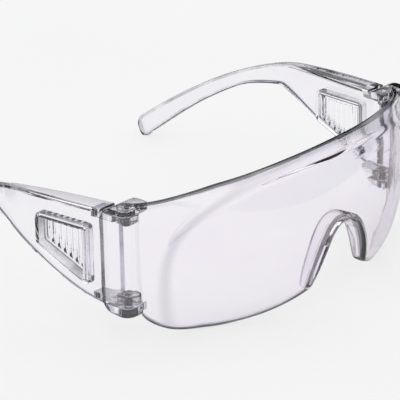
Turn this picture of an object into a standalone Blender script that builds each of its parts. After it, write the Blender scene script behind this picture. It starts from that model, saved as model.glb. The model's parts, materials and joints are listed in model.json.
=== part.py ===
"""Clear over-glasses safety spectacles: one moulded front shield with a brow shelf, a bulged optical
zone, a nose arch and two hinge posts, and two folding temples with vented side shields.

Lengths are millimetres in the worn frame: X across (the wearer's left is +X), Y from the front (-Y)
to the ears (+Y), Z up, origin midway between the hinge posts' rear edges. The empty "worn_frame"
tips it all so that the lens's lower edges and the temple tips rest on Z = 0.
"""
import math

import bmesh
import bpy
import numpy as np

# ---------------------------------------------------------------- shared dimensions
MM = 0.001
SIDES = (("right", -1), ("left", 1))

HALF_WIDTH = 80.0           # outer face of a hinge post
WALL = 2.2                  # moulded wall of the front
GAP = 0.35                  # running clearance between pieces

POST_IN, POST_FRONT = 66.5, -12.6
POST_TOP, POST_BOTTOM = 21.8, -18.9
LUG = 2.6                   # height of the post's upper and lower lugs
LUG_ROOF = 0.9              # material left over the upper pin's blind bore

AXIS_X, AXIS_Y = 73.0, -6.3
PIN_RADIUS = 1.3
BORE_RADIUS = PIN_RADIUS + GAP
BORE_SIDES = 24
KNUCKLE_HEIGHT = 3.4
# lowest and highest Z of each temple knuckle, against the inner face of its lug
KNUCKLES = {
    "upper": (POST_TOP - LUG - GAP - KNUCKLE_HEIGHT, POST_TOP - LUG - GAP),
    "lower": (POST_BOTTOM + LUG + GAP, POST_BOTTOM + LUG + GAP + KNUCKLE_HEIGHT),
}

THROUGH = 40.0              # reach of cutters that run clear of the hinge
SHARP_ANGLE = 32            # degrees; steeper edges are shaded sharp


# ---------------------------------------------------------------- curves
def smooth(t):
    t = min(1.0, max(0.0, t))
    return t * t * (3 - 2 * t)


def ramp(value, start, length):
    """Eased rise from 0 at start to 1 at start + length."""
    return smooth((value - start) / length)


def soft_max(first, second, softness):
    return 0.5 * (first + second + math.sqrt((first - second) ** 2 + softness * softness))


def ellipse(half_width, depth, power, angle):
    """Plan radius of a superellipse, with the angle measured from -Y towards +X."""
    across = abs(math.sin(angle) / half_width) ** power
    ahead = abs(math.cos(angle) / depth) ** power
    return (across + ahead) ** (-1 / power)


# ---------------------------------------------------------------- solids: (points, faces)
def ring_loft(rings):
    """Closed solid through a list of equal rings, with one flat face over each end."""
    count = len(rings[0])
    last = (len(rings) - 1) * count
    points = [point for ring in rings for point in ring]
    faces = []
    for start in range(0, last, count):
        above = start + count
        for j in range(count):
            k = (j + 1) % count
            faces.append((start + j, start + k, above + k, above + j))
    faces.append(tuple(range(count))[::-1])
    faces.append(tuple(last + j for j in range(count)))
    return points, faces


def prism(outline, axis, low, high):
    """A flat outline pushed along an axis. Its pairs are the two other axes, in order."""
    def place(pair, level):
        point = list(pair)
        point.insert(axis, level)
        return tuple(point)
    return ring_loft([[place(pair, level) for pair in outline] for level in (low, high)])


def circle(x, y, radius, sides):
    turns = [2 * math.pi * i / sides for i in range(sides)]
    return [(x + radius * math.cos(turn), y + radius * math.sin(turn)) for turn in turns]


def cylinder(x, y, radius, low, high, sides):
    return prism(circle(x, y, radius, sides), 2, low, high)


def rectangle(left, right, low, high):
    return [(left, low), (right, low), (right, high), (left, high)]


def rounded(corners, radii, steps=5):
    """A polygon with each corner turned into a quadratic curve; radius 0 keeps it square."""
    outline = []
    for i, (corner, radius) in enumerate(zip(corners, radii)):
        corner = np.array(corner, float)
        if radius == 0:
            outline.append(tuple(corner))
            continue
        before = np.array(corners[i - 1], float) - corner
        after = np.array(corners[(i + 1) % len(corners)], float) - corner
        start = corner + before / np.linalg.norm(before) * radius
        end = corner + after / np.linalg.norm(after) * radius
        for k in range(steps + 1):
            t = k / steps
            outline.append(tuple((1 - t) ** 2 * start + 2 * t * (1 - t) * corner + t * t * end))
    return outline


def mirrored(solid, side):
    points, faces = solid
    return [(x * side, y, z) for x, y, z in points], faces


# ---------------------------------------------------------------- objects
def add_object(name, solid, parent, origin=(0, 0, 0), mat=None):
    """Add a solid as an object. One without a material is a hidden helper."""
    points, faces = solid
    mesh = bpy.data.meshes.new(name)
    local = [tuple((np.array(p, float) - np.array(origin, float)) * MM) for p in points]
    mesh.from_pydata(local, [], faces)
    edit = bmesh.new()
    edit.from_mesh(mesh)
    bmesh.ops.recalc_face_normals(edit, faces=edit.faces)
    if edit.calc_volume(signed=True) < 0:
        bmesh.ops.reverse_faces(edit, faces=edit.faces)
    edit.to_mesh(mesh)
    edit.free()
    mesh.shade_smooth()
    mesh.set_sharp_from_angle(angle=math.radians(SHARP_ANGLE))
    made = bpy.data.objects.new(name, mesh)
    bpy.context.scene.collection.objects.link(made)
    made.parent = parent
    made.location = tuple(c * MM for c in origin)
    if mat:
        mesh.materials.append(mat)
    else:
        made.hide_render = True
        made.display_type = "WIRE"
    return made


def boolean(target, operation, other):
    modifier = target.modifiers.new(f"{operation.title()}_{other.name}", "BOOLEAN")
    modifier.operation = operation
    modifier.solver = "EXACT"
    modifier.object = other


def combine(target, operation, name, solid, origin=(0, 0, 0)):
    """Add a solid as a helper beside the target and join it to, or cut it from, the target."""
    helper = add_object(name, solid, target.parent, origin)
    boolean(target, operation, helper)
    return helper


# ---------------------------------------------------------------- materials
def material(name, colour, roughness, metallic, transmission):
    made = bpy.data.materials.new(name)
    made.use_nodes = True
    shader = made.node_tree.nodes["Principled BSDF"]
    shader.inputs["Base Color"].default_value = (*colour, 1.0)
    shader.inputs["Roughness"].default_value = roughness
    shader.inputs["Metallic"].default_value = metallic
    shader.inputs["Transmission Weight"].default_value = transmission
    shader.inputs["IOR"].default_value = 1.58
    return made


def clear_plastic(name, colour, roughness):
    return material(name, colour, roughness, metallic=0.0, transmission=0.95)


def pin_steel(name):
    return material(name, colour=(0.42, 0.42, 0.45), roughness=0.28, metallic=1.0,
                    transmission=0.0)


# ---------------------------------------------------------------- front: outer surface
# base band: an ellipse in plan that narrows towards the cheeks
BASE_A, BASE_B = 79.0, 33.8           # half width and depth
RAKE = 0.061                          # the lower half stands further forward
BASE_NARROW, NARROW_Z = 0.0050, 21.8  # mm lost from BASE_A per mm squared below NARROW_Z
NARROW_FADE = 0.75                    # share of the narrowing lost at the hinges
NARROW_FADE_TURN = (66.0, 13.0)       # degrees: start and length of that fade
# optical zone: a fuller ellipse that stands proud of the base band
OPTIC_B, OPTIC_B_Z, OPTIC_B_RADIUS = 46.4, 3.0, 115.0  # depth, greatest at this Z, and its fall
OPTIC_STEP_IN = 6.8
OPTIC_BLEND, OPTIC_LIP, OPTIC_STEP = 1.4, 0.9, 2.6  # softness, least and greatest step height
# its outline: a superellipse over turn (degrees) and height, with rounded upper corners
OPTIC_SPAN, OPTIC_LOW_Z, OPTIC_RISE, OPTIC_CORNER = 78.0, -20.0, 49.5, 3.5
OPTIC_SOFT_FRONT, OPTIC_SOFT_SIDE = 3.4, 2.0  # distance over which the step fades in
OPTIC_SOFT_TURN = (58.0, 16.0)        # degrees: start and length of the change between them
TUCK_Z, TUCK = -18.0, 0.015           # the lower rim curls in towards the cheek

# brow shelf
BROW_A, BROW_B, BROW_POWER, BROW_TOP_Z = 75.8, 28.4, 2.3, 26.4
BROW_END_DROP = 3.0                   # fall of the shelf's rear edge at the hinges
BROW_DROP_TURN = (60.0, 24.0)         # degrees: start and length of that fall
BROW_CROWN = 0.55                     # bulge between the shelf's rear edge and the lens
BROW_Z, BROW_Z_DROP = 26.3, 8.0       # the lens's top line, and its fall at the hinges

# lower outline of the lens
RIM_LOW_X, RIM_LOW_Z = 47.0, -30.6
RIM_END_X, RIM_END_Z = 73.0, -18.0
RIM_POWER = 1.9
NOSE_HALF, NOSE_TOP_Z, NOSE_FOOT_Z, NOSE_POWER = 15.2, 2.0, -21.4, 2.5
NOSE_CORNER = 1.0

# grid of the shell
COLUMNS_NOSE, COLUMNS_SIDE, ROWS_BROW, ROWS_LENS = 14, 22, 4, 21
NOSE_TURN = math.asin(19.0 / 40.0)    # turn at which the column spacing changes
LAST_TURN = math.radians(84.0)
ROW_STRETCH = 0.25                    # rows open out towards the lower outline


def optic_share(angle, z):
    """1 inside the optical zone, 0 outside its outline."""
    turn = math.degrees(abs(angle))
    across = turn / OPTIC_SPAN
    above = max(0.0, z - OPTIC_LOW_Z) / OPTIC_RISE
    inside = 1 - (across ** OPTIC_CORNER + above ** OPTIC_CORNER) ** (1 / OPTIC_CORNER)
    soft = OPTIC_SOFT_FRONT
    soft += (OPTIC_SOFT_SIDE - OPTIC_SOFT_FRONT) * ramp(turn, *OPTIC_SOFT_TURN)
    return smooth(inside * OPTIC_RISE / soft)


def front_radius(angle, z):
    """Distance in plan from the Z axis to the front's outer surface."""
    keep = 1 - NARROW_FADE * ramp(math.degrees(abs(angle)), *NARROW_FADE_TURN)
    half_width = BASE_A - BASE_NARROW * keep * max(0.0, NARROW_Z - z) ** 2
    base = ellipse(half_width, BASE_B - RAKE * z, 2, angle)
    optic_depth = OPTIC_B - RAKE * z - (z - OPTIC_B_Z) ** 2 / OPTIC_B_RADIUS
    optic = ellipse(half_width - OPTIC_STEP_IN, optic_depth, 2, angle)
    full = soft_max(optic - base, 0.0, OPTIC_BLEND) + OPTIC_LIP
    band = soft_max(full - OPTIC_STEP, 0.0, OPTIC_BLEND)
    proud = band + (full - band) * optic_share(angle, z)
    return base + proud - TUCK * max(0.0, TUCK_Z - z) ** 2


def lower_outline(x):
    """Height of the lens's lower edge: the nose arch, then the rim up to the hinge."""
    x = abs(x)
    nose = NOSE_TOP_Z + (NOSE_FOOT_Z - NOSE_TOP_Z) * (x / NOSE_HALF) ** NOSE_POWER
    if x < RIM_LOW_X:
        t = (RIM_LOW_X - x) / (RIM_LOW_X - NOSE_HALF)
        rim = RIM_LOW_Z + (NOSE_FOOT_Z - RIM_LOW_Z) * t ** 2
    else:
        t = min(1.0, (x - RIM_LOW_X) / (RIM_END_X - RIM_LOW_X))
        climb = 1 - (1 - t ** RIM_POWER) ** (1 / RIM_POWER)
        rim = RIM_LOW_Z + (RIM_END_Z - RIM_LOW_Z) * climb
    return soft_max(nose, rim, NOSE_CORNER)


def lens_foot(angle):
    """Height where this column meets the lower outline, found by averaged iteration."""
    z = -10.0
    for _ in range(40):
        z = 0.5 * (z + lower_outline(front_radius(angle, z) * math.sin(angle)))
    return z


def column_angles():
    """Columns spaced closely over the nose, wider towards the hinges."""
    half = [NOSE_TURN * i / COLUMNS_NOSE for i in range(COLUMNS_NOSE)]
    half += [NOSE_TURN + (LAST_TURN - NOSE_TURN) * i / COLUMNS_SIDE
             for i in range(COLUMNS_SIDE + 1)]
    return [-angle for angle in half[:0:-1]] + half


def front_profile(angle):
    """Outer points of one column, from the brow shelf's rear edge to the lower outline."""
    def at(radius, z):
        return np.array((radius * math.sin(angle), -radius * math.cos(angle), z))

    knee = BROW_Z - BROW_Z_DROP * math.sin(angle) ** 4
    knee_radius = front_radius(angle, knee)
    foot = lens_foot(angle)
    top = BROW_TOP_Z - BROW_END_DROP * ramp(math.degrees(abs(angle)), *BROW_DROP_TURN)
    top_radius = ellipse(BROW_A, BROW_B, BROW_POWER, angle)
    points = []
    for i in range(ROWS_BROW):
        t = i / ROWS_BROW
        crown = BROW_CROWN * math.sin(math.pi * t)
        points.append(at(top_radius + (knee_radius - top_radius) * t + crown,
                         top + (knee - top) * t + crown))
    for i in range(ROWS_LENS + 1):
        t = i / ROWS_LENS
        t = (1 - ROW_STRETCH) * t + ROW_STRETCH * t * t
        z = knee + (foot - knee) * t
        points.append(at(front_radius(angle, z), z))
    return points


def shield_shell():
    """Brow shelf and lens: the outer grid, the same grid set in by WALL, and a rim between."""
    outer = np.array([front_profile(angle) for angle in column_angles()])
    normal = np.cross(np.gradient(outer, axis=1), np.gradient(outer, axis=0))
    normal /= np.linalg.norm(normal, axis=2, keepdims=True)
    inner = outer - normal * WALL
    columns, rows = outer.shape[:2]
    points = [tuple(p) for grid in (outer, inner) for p in grid.reshape(-1, 3)]

    def out(i, j):
        return i * rows + j

    def inn(i, j):
        return columns * rows + i * rows + j

    foot, last = rows - 1, columns - 1
    faces = []
    for i in range(last):
        for j in range(foot):
            faces.append((out(i, j), out(i + 1, j), out(i + 1, j + 1), out(i, j + 1)))
            faces.append((inn(i, j), inn(i, j + 1), inn(i + 1, j + 1), inn(i + 1, j)))
        faces.append((out(i, 0), inn(i, 0), inn(i + 1, 0), out(i + 1, 0)))
        faces.append((out(i, foot), out(i + 1, foot), inn(i + 1, foot), inn(i, foot)))
    for j in range(foot):
        faces.append((out(0, j), out(0, j + 1), inn(0, j + 1), inn(0, j)))
        faces.append((out(last, j), inn(last, j), inn(last, j + 1), out(last, j + 1)))
    return points, faces


# ---------------------------------------------------------------- front: nose flange
FLANGE_HALF, FLANGE_SECTIONS = 15.6, 33
FLANGE_DEPTH, FLANGE_FOOT_DEPTH = 7.0, 0.6   # depth gained at the arch's top, and left at its feet
FLANGE_WALL, FLANGE_TAPER = 1.8, 0.8         # thickness, and the share of it left at the rear
FLANGE_INSET = 0.12                          # set in from the lens's lower edge
FLANGE_BITE = 0.5                            # starts this far behind the lens's outer surface
FLANGE_PLAN_RADIUS = 44.0                    # turns x into an angle on the lens


def nose_flange():
    """A wall that runs back from the nose arch, shallowest at its two feet."""
    rings = []
    step = 0.05
    for i in range(FLANGE_SECTIONS):
        u = -1 + 2 * i / (FLANGE_SECTIONS - 1)
        x = FLANGE_HALF * math.sin(u * math.pi / 2)
        z = lower_outline(x)
        slope = (lower_outline(x + step) - lower_outline(x - step)) / (2 * step)
        length = math.hypot(1, slope)
        normal_x, normal_z = -slope / length, 1 / length
        angle = math.asin(x / FLANGE_PLAN_RADIUS)
        lens_y = -front_radius(angle, z) * math.cos(angle)
        front = lens_y + FLANGE_BITE
        rear = lens_y + WALL + FLANGE_FOOT_DEPTH + FLANGE_DEPTH * (1 - abs(u) ** 3)
        near = FLANGE_INSET
        far_front = near + FLANGE_WALL
        far_rear = near + FLANGE_WALL * FLANGE_TAPER
        corners = ((near, front), (far_front, front), (far_rear, rear), (near, rear))
        rings.append([(x + normal_x * off, y, z + normal_z * off) for off, y in corners])
    return ring_loft(rings)


# ---------------------------------------------------------------- front: hinge posts
POST_CORNER, POST_INNER_CORNER, POST_REAR_CORNER = 4.5, 6.3, 6.5
WALL_END = 72.5             # inner end of the post's front wall
RELIEF_IN = 60.0            # inner end of the cutter that shortens that wall
LOWER_LUG_IN = 69.2         # the lower lug is shorter than the upper one
CUT_IN = 40.0               # inner end of the pocket and lug cutters
POCKET_REAR, LUG_TRIM_REAR = 12.0, 3.0


def post_block():
    plan = rectangle(POST_IN, HALF_WIDTH, POST_FRONT, 0)
    return prism(rounded(plan, [0, POST_CORNER, 0, POST_INNER_CORNER]), 2, POST_BOTTOM, POST_TOP)


def post_shape():
    """Side view of the post, which rounds its rear corners."""
    margin = 0.01
    view = rectangle(-THROUGH, 0, POST_BOTTOM - margin, POST_TOP + margin)
    return prism(rounded(view, [0, POST_REAR_CORNER, POST_REAR_CORNER, 0], 7), 0, 50, 90)


def post_relief():
    plan = rectangle(RELIEF_IN, WALL_END, POST_FRONT - 1.0, POST_FRONT + WALL)
    return prism(plan, 2, -THROUGH, THROUGH)


def post_pocket():
    """The room between the lugs, open to the rear and inwards, where the knuckles turn."""
    plan = rectangle(CUT_IN, HALF_WIDTH - WALL, POST_FRONT + WALL, POCKET_REAR)
    corners = [0, POST_CORNER - WALL, 0, 0]
    return prism(rounded(plan, corners), 2, POST_BOTTOM + LUG, POST_TOP - LUG)


def lug_trim():
    plan = rectangle(CUT_IN, LOWER_LUG_IN, POST_FRONT + WALL, LUG_TRIM_REAR)
    return prism(rounded(plan, [0, 1.0, 0, 0]), 2, POST_BOTTOM - 2, POST_BOTTOM + LUG + 0.5)


def add_post(front, label, side):
    post = combine(front, "UNION", f"guide_post_{label}", mirrored(post_block(), side))
    combine(post, "INTERSECT", f"guide_post_shape_{label}", mirrored(post_shape(), side))
    combine(post, "DIFFERENCE", f"guide_relief_{label}", mirrored(post_relief(), side))
    combine(front, "DIFFERENCE", f"guide_pocket_{label}", mirrored(post_pocket(), side))
    for level, low, high in (("upper", 0.0, POST_TOP - LUG_ROOF), ("lower", -THROUGH, 0.0)):
        bore = cylinder(AXIS_X * side, AXIS_Y, BORE_RADIUS, low, high, BORE_SIDES)
        combine(front, "DIFFERENCE", f"guide_bore_{level}_{label}", bore)
    combine(front, "DIFFERENCE", f"guide_lug_trim_{label}", mirrored(lug_trim(), side))


def front_shield(frame):
    plastic = clear_plastic("clear_shield", colour=(0.93, 0.93, 0.97), roughness=0.04)
    front = add_object("front_shield", shield_shell(), frame, mat=plastic)
    combine(front, "UNION", "guide_nose_flange", nose_flange())
    for label, side in SIDES:
        add_post(front, label, side)
    return front


# ---------------------------------------------------------------- temples: body
TEMPLE_OUT = 79.6           # outer face of the side shield at the hinge
TEMPLE_FRONT = 0.5
SHIELD_WALL, ARM_WALL = 2.2, 3.8
SHIELD_IN = TEMPLE_OUT - SHIELD_WALL
THICKEN_Y = (36.0, 20.0)    # start and length of the change from SHIELD_WALL to ARM_WALL
BOW_SLOPE, TOE_IN = 0.115, 9.0   # the temples bow outwards, then come in to the ear
DROOP = 0.061               # the temples run down towards the ear
TOP_Z, TOP_CROWN, CROWN_SPAN = 19.9, 0.9, 90.0
HOOK_START, HOOK_END_Y, HOOK_FALL, HOOK_POWER = 44.0, 127.0, 38.5, 1.6
# the side shield's lower edge: height at the front, climb, its length and power
SHIELD_LOW_Z, SHIELD_CLIMB, SHIELD_CLIMB_Y, SHIELD_CLIMB_POWER = -16.4, 26.5, 51.0, 1.42
ARM_HEIGHT, ARM_SLIM, ARM_SWELL = 8.6, 3.0, 0.9
ARM_SLIM_Y, ARM_SWELL_Y = (50.0, 26.0), (88.0, 34.0)  # start and length
ARM_BLEND = 1.5             # softness where the shield's lower edge meets the arm's
EDGE_ROUND, EDGE_SHARE = 0.9, 0.35    # edge rounding, at most this share of the thickness
LEAN, LEAN_Y = 0.55, (50.0, 40.0)     # sections lean this share of the way square to the arm
BODY_STEPS = 40
TIP_START = 6.0             # the rounded ear tip starts this far before HOOK_END_Y
TIP_STEPS, TIP_ARC_STEPS = 6, 6.4     # rings, of this many to a quarter turn
TIP_RUN, TIP_THINNING = 0.95, 0.25


def top_edge(y):
    crown = TOP_CROWN * math.sin(math.pi * min(max(0.0, y), HOOK_START) / CROWN_SPAN)
    t = max(0.0, (y - HOOK_START) / (HOOK_END_Y - HOOK_START))
    return TOP_Z + crown - HOOK_FALL * t ** HOOK_POWER - DROOP * y


def top_slope(y):
    return top_edge(y + 0.5) - top_edge(y - 0.5)


def bottom_edge(y):
    """The shield's lower edge climbs to the arm, whose height then varies only a little."""
    climb = SHIELD_CLIMB * (max(0.0, y) / SHIELD_CLIMB_Y) ** SHIELD_CLIMB_POWER
    shield = SHIELD_LOW_Z + climb - DROOP * y
    height = ARM_HEIGHT - ARM_SLIM * ramp(y, *ARM_SLIM_Y) + ARM_SWELL * ramp(y, *ARM_SWELL_Y)
    arm = top_edge(y) - height * math.hypot(1, top_slope(y))
    return -soft_max(-shield, -arm, ARM_BLEND)


def inward_shift(y):
    """How far the outer face lies inside TEMPLE_OUT; negative where the temple bows out."""
    return -BOW_SLOPE * y + (TOE_IN + BOW_SLOPE * HOOK_END_Y) * (y / HOOK_END_Y) ** 2


def temple_ring(y):
    high, low = top_edge(y), bottom_edge(y)
    thick = SHIELD_WALL + (ARM_WALL - SHIELD_WALL) * ramp(y, *THICKEN_Y)
    out = TEMPLE_OUT - inward_shift(y)
    edge = min(EDGE_ROUND, thick * EDGE_SHARE)
    section = rounded(rectangle(out - thick, out, low, high), [edge] * 4, 2)
    lean = LEAN * ramp(y, *LEAN_Y)
    middle = 0.5 * (high + low)
    return [(x, y + (z - middle) * (-top_slope(y)) * lean, z) for x, z in section]


def ear_tip(base, y):
    """Rings that shrink along an arc from the last body ring, at y."""
    slope = top_slope(y)
    length = math.hypot(1, slope)
    half = 0.5 * (top_edge(y) - bottom_edge(y))
    centre = np.mean(np.array(base), axis=0)
    rings = []
    for k in range(1, TIP_STEPS + 1):
        turn = 0.5 * math.pi * k / TIP_ARC_STEPS
        scale = math.cos(turn)
        run = half / length * TIP_RUN * math.sin(turn)
        shift = np.array((0.0, run / length, run * slope / length))
        shrink = np.array((1 - TIP_THINNING * (1 - scale), scale, scale))
        rings.append([tuple(centre + (np.array(p) - centre) * shrink + shift) for p in base])
    return rings


def temple_body():
    length = HOOK_END_Y - TIP_START - TEMPLE_FRONT
    stations = [TEMPLE_FRONT + length * i / BODY_STEPS for i in range(BODY_STEPS + 1)]
    rings = [temple_ring(y) for y in stations]
    return ring_loft(rings + ear_tip(rings[-1], stations[-1]))


# ---------------------------------------------------------------- temples: ledge
LEDGE_WIDTH, LEDGE_END_WIDTH, LEDGE_THICK = 6.5, 0.3, 1.8
LEDGE_START, LEDGE_END, LEDGE_STEPS = 1.2, 52.0, 12
LEDGE_BELOW, LEDGE_BITE = 0.15, 1.0   # set below the top edge, and in from the outer face


def ledge():
    """A shelf inside the top of the side shield, widest at the hinge."""
    rings = []
    for i in range(LEDGE_STEPS + 1):
        y = LEDGE_START + (LEDGE_END - LEDGE_START) * i / LEDGE_STEPS
        width = LEDGE_WIDTH * (1 - (i / LEDGE_STEPS) ** 2) + LEDGE_END_WIDTH
        z = top_edge(y) - LEDGE_BELOW
        shift = inward_shift(y)
        out = TEMPLE_OUT - LEDGE_BITE - shift
        inn = SHIELD_IN - shift - width
        rings.append([(out, y, z - LEDGE_THICK), (out, y, z), (inn, y, z),
                      (inn, y, z - LEDGE_THICK)])
    return ring_loft(rings)


# ---------------------------------------------------------------- temples: vent
VENT_FRONT, VENT_REAR = 8.8, 31.0
VENT_TOP = (10.6, 11.6)     # Z at the front and at the rear, before the droop
VENT_LOW = (-9.8, 1.2)
VENT_DEPTH, VENT_WALL = 3.6, 1.2
VENT_SLOTS, VENT_SLOT_SHARE, VENT_SLOT_MARGIN = 8, 0.56, 1.0


def vent_outline(grow):
    return [(VENT_FRONT - grow, VENT_LOW[0] - grow * 1.3),
            (VENT_REAR + grow, VENT_LOW[1] - grow * 0.9),
            (VENT_REAR + grow, VENT_TOP[1] + grow),
            (VENT_FRONT - grow, VENT_TOP[0] + grow)]


def bowed(solid):
    """Lean a flat-sided solid so that it lies along the bowed, drooping shield."""
    points, faces = solid
    near, far = inward_shift(VENT_FRONT), inward_shift(VENT_REAR)
    slope = (far - near) / (VENT_REAR - VENT_FRONT)
    return [(x - near - slope * (y - VENT_FRONT), y, z - DROOP * y) for x, y, z in points], faces


def vent_box():
    outline = rounded(vent_outline(VENT_WALL), [2.2] * 4, 3)
    return bowed(prism(outline, 0, SHIELD_IN - VENT_DEPTH, SHIELD_IN + 1.0))


def vent_pocket():
    """Hollows the box from the outer face, leaving VENT_WALL at its inner end."""
    outline = rounded(vent_outline(0), [1.2] * 4, 3)
    return bowed(prism(outline, 0, SHIELD_IN - VENT_DEPTH + VENT_WALL, SHIELD_IN + 10))


def vent_slot(i):
    def edge(y, ends, margin):
        t = (y - VENT_FRONT) / (VENT_REAR - VENT_FRONT)
        return ends[0] + (ends[1] - ends[0]) * t + margin

    pitch = (VENT_REAR - VENT_FRONT) / VENT_SLOTS
    front = VENT_FRONT + pitch * (i + 0.5 - 0.5 * VENT_SLOT_SHARE)
    rear = front + pitch * VENT_SLOT_SHARE
    outline = [(y, edge(y, VENT_LOW, VENT_SLOT_MARGIN)) for y in (front, rear)]
    outline += [(y, edge(y, VENT_TOP, -VENT_SLOT_MARGIN)) for y in (rear, front)]
    return bowed(prism(outline, 0, SHIELD_IN - 12, SHIELD_IN + 12))


# ---------------------------------------------------------------- temples: knuckles
KNUCKLE_RADIUS, KNUCKLE_SIDES = 3.3, 28
WEB_INSET = 0.6             # the web is this much shorter than the barrel at each end
WEB_STEP_Y = GAP + 0.25     # behind this the web widens into the shield
WEB_REAR = 5.2
WEB_OUT = TEMPLE_OUT - 0.8


def knuckle_web(low, high):
    """Ties the barrel back to the shield behind the post's rear edge."""
    reach = HALF_WIDTH - WALL - GAP
    plan = [(AXIS_X - KNUCKLE_RADIUS * 0.55, AXIS_Y), (reach, AXIS_Y + 1.5),
            (reach, WEB_STEP_Y), (WEB_OUT, WEB_STEP_Y),
            (WEB_OUT, WEB_REAR), (AXIS_X - 1.2, WEB_REAR)]
    return prism(rounded(plan, [0, 1.2, 0, 0, 0, 2.5], 3), 2, low + WEB_INSET, high - WEB_INSET)


def temple(label, side, frame):
    origin = (AXIS_X * side, AXIS_Y, 0.0)
    plastic = clear_plastic(f"clear_temple_{label}", colour=(0.92, 0.92, 0.97), roughness=0.06)
    body = add_object(f"{label}_temple", mirrored(temple_body(), side), frame, origin, plastic)

    def shape(target, operation, name, solid):
        return combine(target, operation, name, mirrored(solid, side), origin)

    shape(body, "UNION", f"guide_ledge_{label}", ledge())
    shape(body, "UNION", f"guide_vent_box_{label}", vent_box())
    shape(body, "DIFFERENCE", f"guide_vent_pocket_{label}", vent_pocket())
    for i in range(VENT_SLOTS):
        shape(body, "DIFFERENCE", f"guide_slot_{label}_{i}", vent_slot(i))
    for level, (low, high) in KNUCKLES.items():
        solid = cylinder(AXIS_X, AXIS_Y, KNUCKLE_RADIUS, low, high, KNUCKLE_SIDES)
        barrel = shape(body, "UNION", f"guide_barrel_{label}_{level}", solid)
        shape(barrel, "UNION", f"guide_web_{label}_{level}", knuckle_web(low, high))
    bore = cylinder(AXIS_X, AXIS_Y, BORE_RADIUS, -THROUGH, THROUGH, BORE_SIDES)
    shape(body, "DIFFERENCE", f"guide_knuckle_bore_{label}", bore)
    return body


# ---------------------------------------------------------------- pins
PIN_SIDES = 28
PIN_HEAD_RADIUS, PIN_HEAD, PIN_HEAD_CHAMFER = 2.0, 0.9, 0.3
PIN_SLOT_HALF, PIN_SLOT_DEPTH = 0.3, 0.45
# face the head sits under, and the pin's upper end
PIN_SPANS = {
    "upper": (KNUCKLES["upper"][0], POST_TOP - LUG_ROOF - GAP),
    "lower": (POST_BOTTOM, KNUCKLES["lower"][1] - 0.6),
}


def hinge_pin(label, side, level, frame):
    """A slotted-head pin, put in from below: the upper one through its knuckle into its lug,
    the lower one through its lug into its knuckle."""
    face, end = PIN_SPANS[level]
    under = face - GAP
    crown = under - PIN_HEAD
    axis_x = AXIS_X * side
    # radius and Z, from the chamfered upper end down to the head's crown
    profile = [(PIN_RADIUS - 0.4, end), (PIN_RADIUS, end - 0.5), (PIN_RADIUS, under),
               (PIN_HEAD_RADIUS, under), (PIN_HEAD_RADIUS, crown + PIN_HEAD_CHAMFER),
               (PIN_HEAD_RADIUS - PIN_HEAD_CHAMFER, crown)]
    rings = [[(x, y, z) for x, y in circle(axis_x, AXIS_Y, radius, PIN_SIDES)]
             for radius, z in profile]
    origin = (axis_x, AXIS_Y, face)
    steel = pin_steel(f"pin_steel_{level}_{label}")
    pin = add_object(f"hinge_pin_{level}_{label}", ring_loft(rings), frame, origin, steel)
    plan = rectangle(axis_x - 4, axis_x + 4, AXIS_Y - PIN_SLOT_HALF, AXIS_Y + PIN_SLOT_HALF)
    slot = prism(plan, 2, crown - 1.0, crown + PIN_SLOT_DEPTH)
    combine(pin, "DIFFERENCE", f"guide_pin_slot_{level}_{label}", slot, origin)


# ---------------------------------------------------------------- resting pose
TABLE_TRIM = 0.30           # flat left where the object stands
TABLE_HALF, TABLE_DEPTH = 400.0, 60.0
TIP_LEAST, TIP_MOST = -5, 15   # degrees between which the resting angle is sought


def stand(frame, front, temples):
    """Tip the worn frame until lens and ear tips reach the table together, then trim flat."""
    def cloud(piece):
        place = np.array(piece.location) / MM
        return np.array([np.array(v.co) / MM + place for v in piece.data.vertices])

    clouds = (cloud(front), cloud(temples[0]))
    least, most = math.radians(TIP_LEAST), math.radians(TIP_MOST)
    for _ in range(60):
        tip = 0.5 * (least + most)
        lens_low, ear_low = [(-c[:, 1] * math.sin(tip) + c[:, 2] * math.cos(tip)).min()
                             for c in clouds]
        if lens_low < ear_low:
            least = tip
        else:
            most = tip
    rest = min(lens_low, ear_low) + TABLE_TRIM
    lens_y, ear_y = [c[:, 1] * math.cos(tip) + c[:, 2] * math.sin(tip) for c in clouds]
    centre = 0.5 * (lens_y.min() + ear_y.max())
    frame.rotation_euler = (-tip, 0, 0)
    frame.location = (0, -centre * MM, -rest * MM)

    top = rectangle(-TABLE_HALF, TABLE_HALF, -TABLE_HALF, TABLE_HALF)
    table = add_object("guide_table", prism(top, 2, -TABLE_DEPTH, 0.0), None)
    for piece in [front] + temples:
        boolean(piece, "DIFFERENCE", table)


def build():
    for old in list(bpy.data.objects):
        bpy.data.objects.remove(old, do_unlink=True)

    frame = bpy.data.objects.new("worn_frame", None)
    bpy.context.scene.collection.objects.link(frame)
    front = front_shield(frame)
    temples = []
    for label, side in SIDES:
        temples.append(temple(label, side, frame))
        for level in PIN_SPANS:
            hinge_pin(label, side, level, frame)
    stand(frame, front, temples)


build()
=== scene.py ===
"""Clear over-glasses safety spectacles: a front shield, two temples and four plated steel hinge pins
over the loaded frame, with a pale floor, a bright dome and the camera.

Geometry functions work in millimetres in the worn frame: X across (wearer's left +X), front -Y,
Z up, origin midway between the hinge posts' rear edges. WORN carries it into the loaded frame's
own axes, in metres, where the spectacles lie tipped about X.
"""

import json
import math

import bmesh
import bpy
import numpy as np
from mathutils import Matrix, Vector


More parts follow.
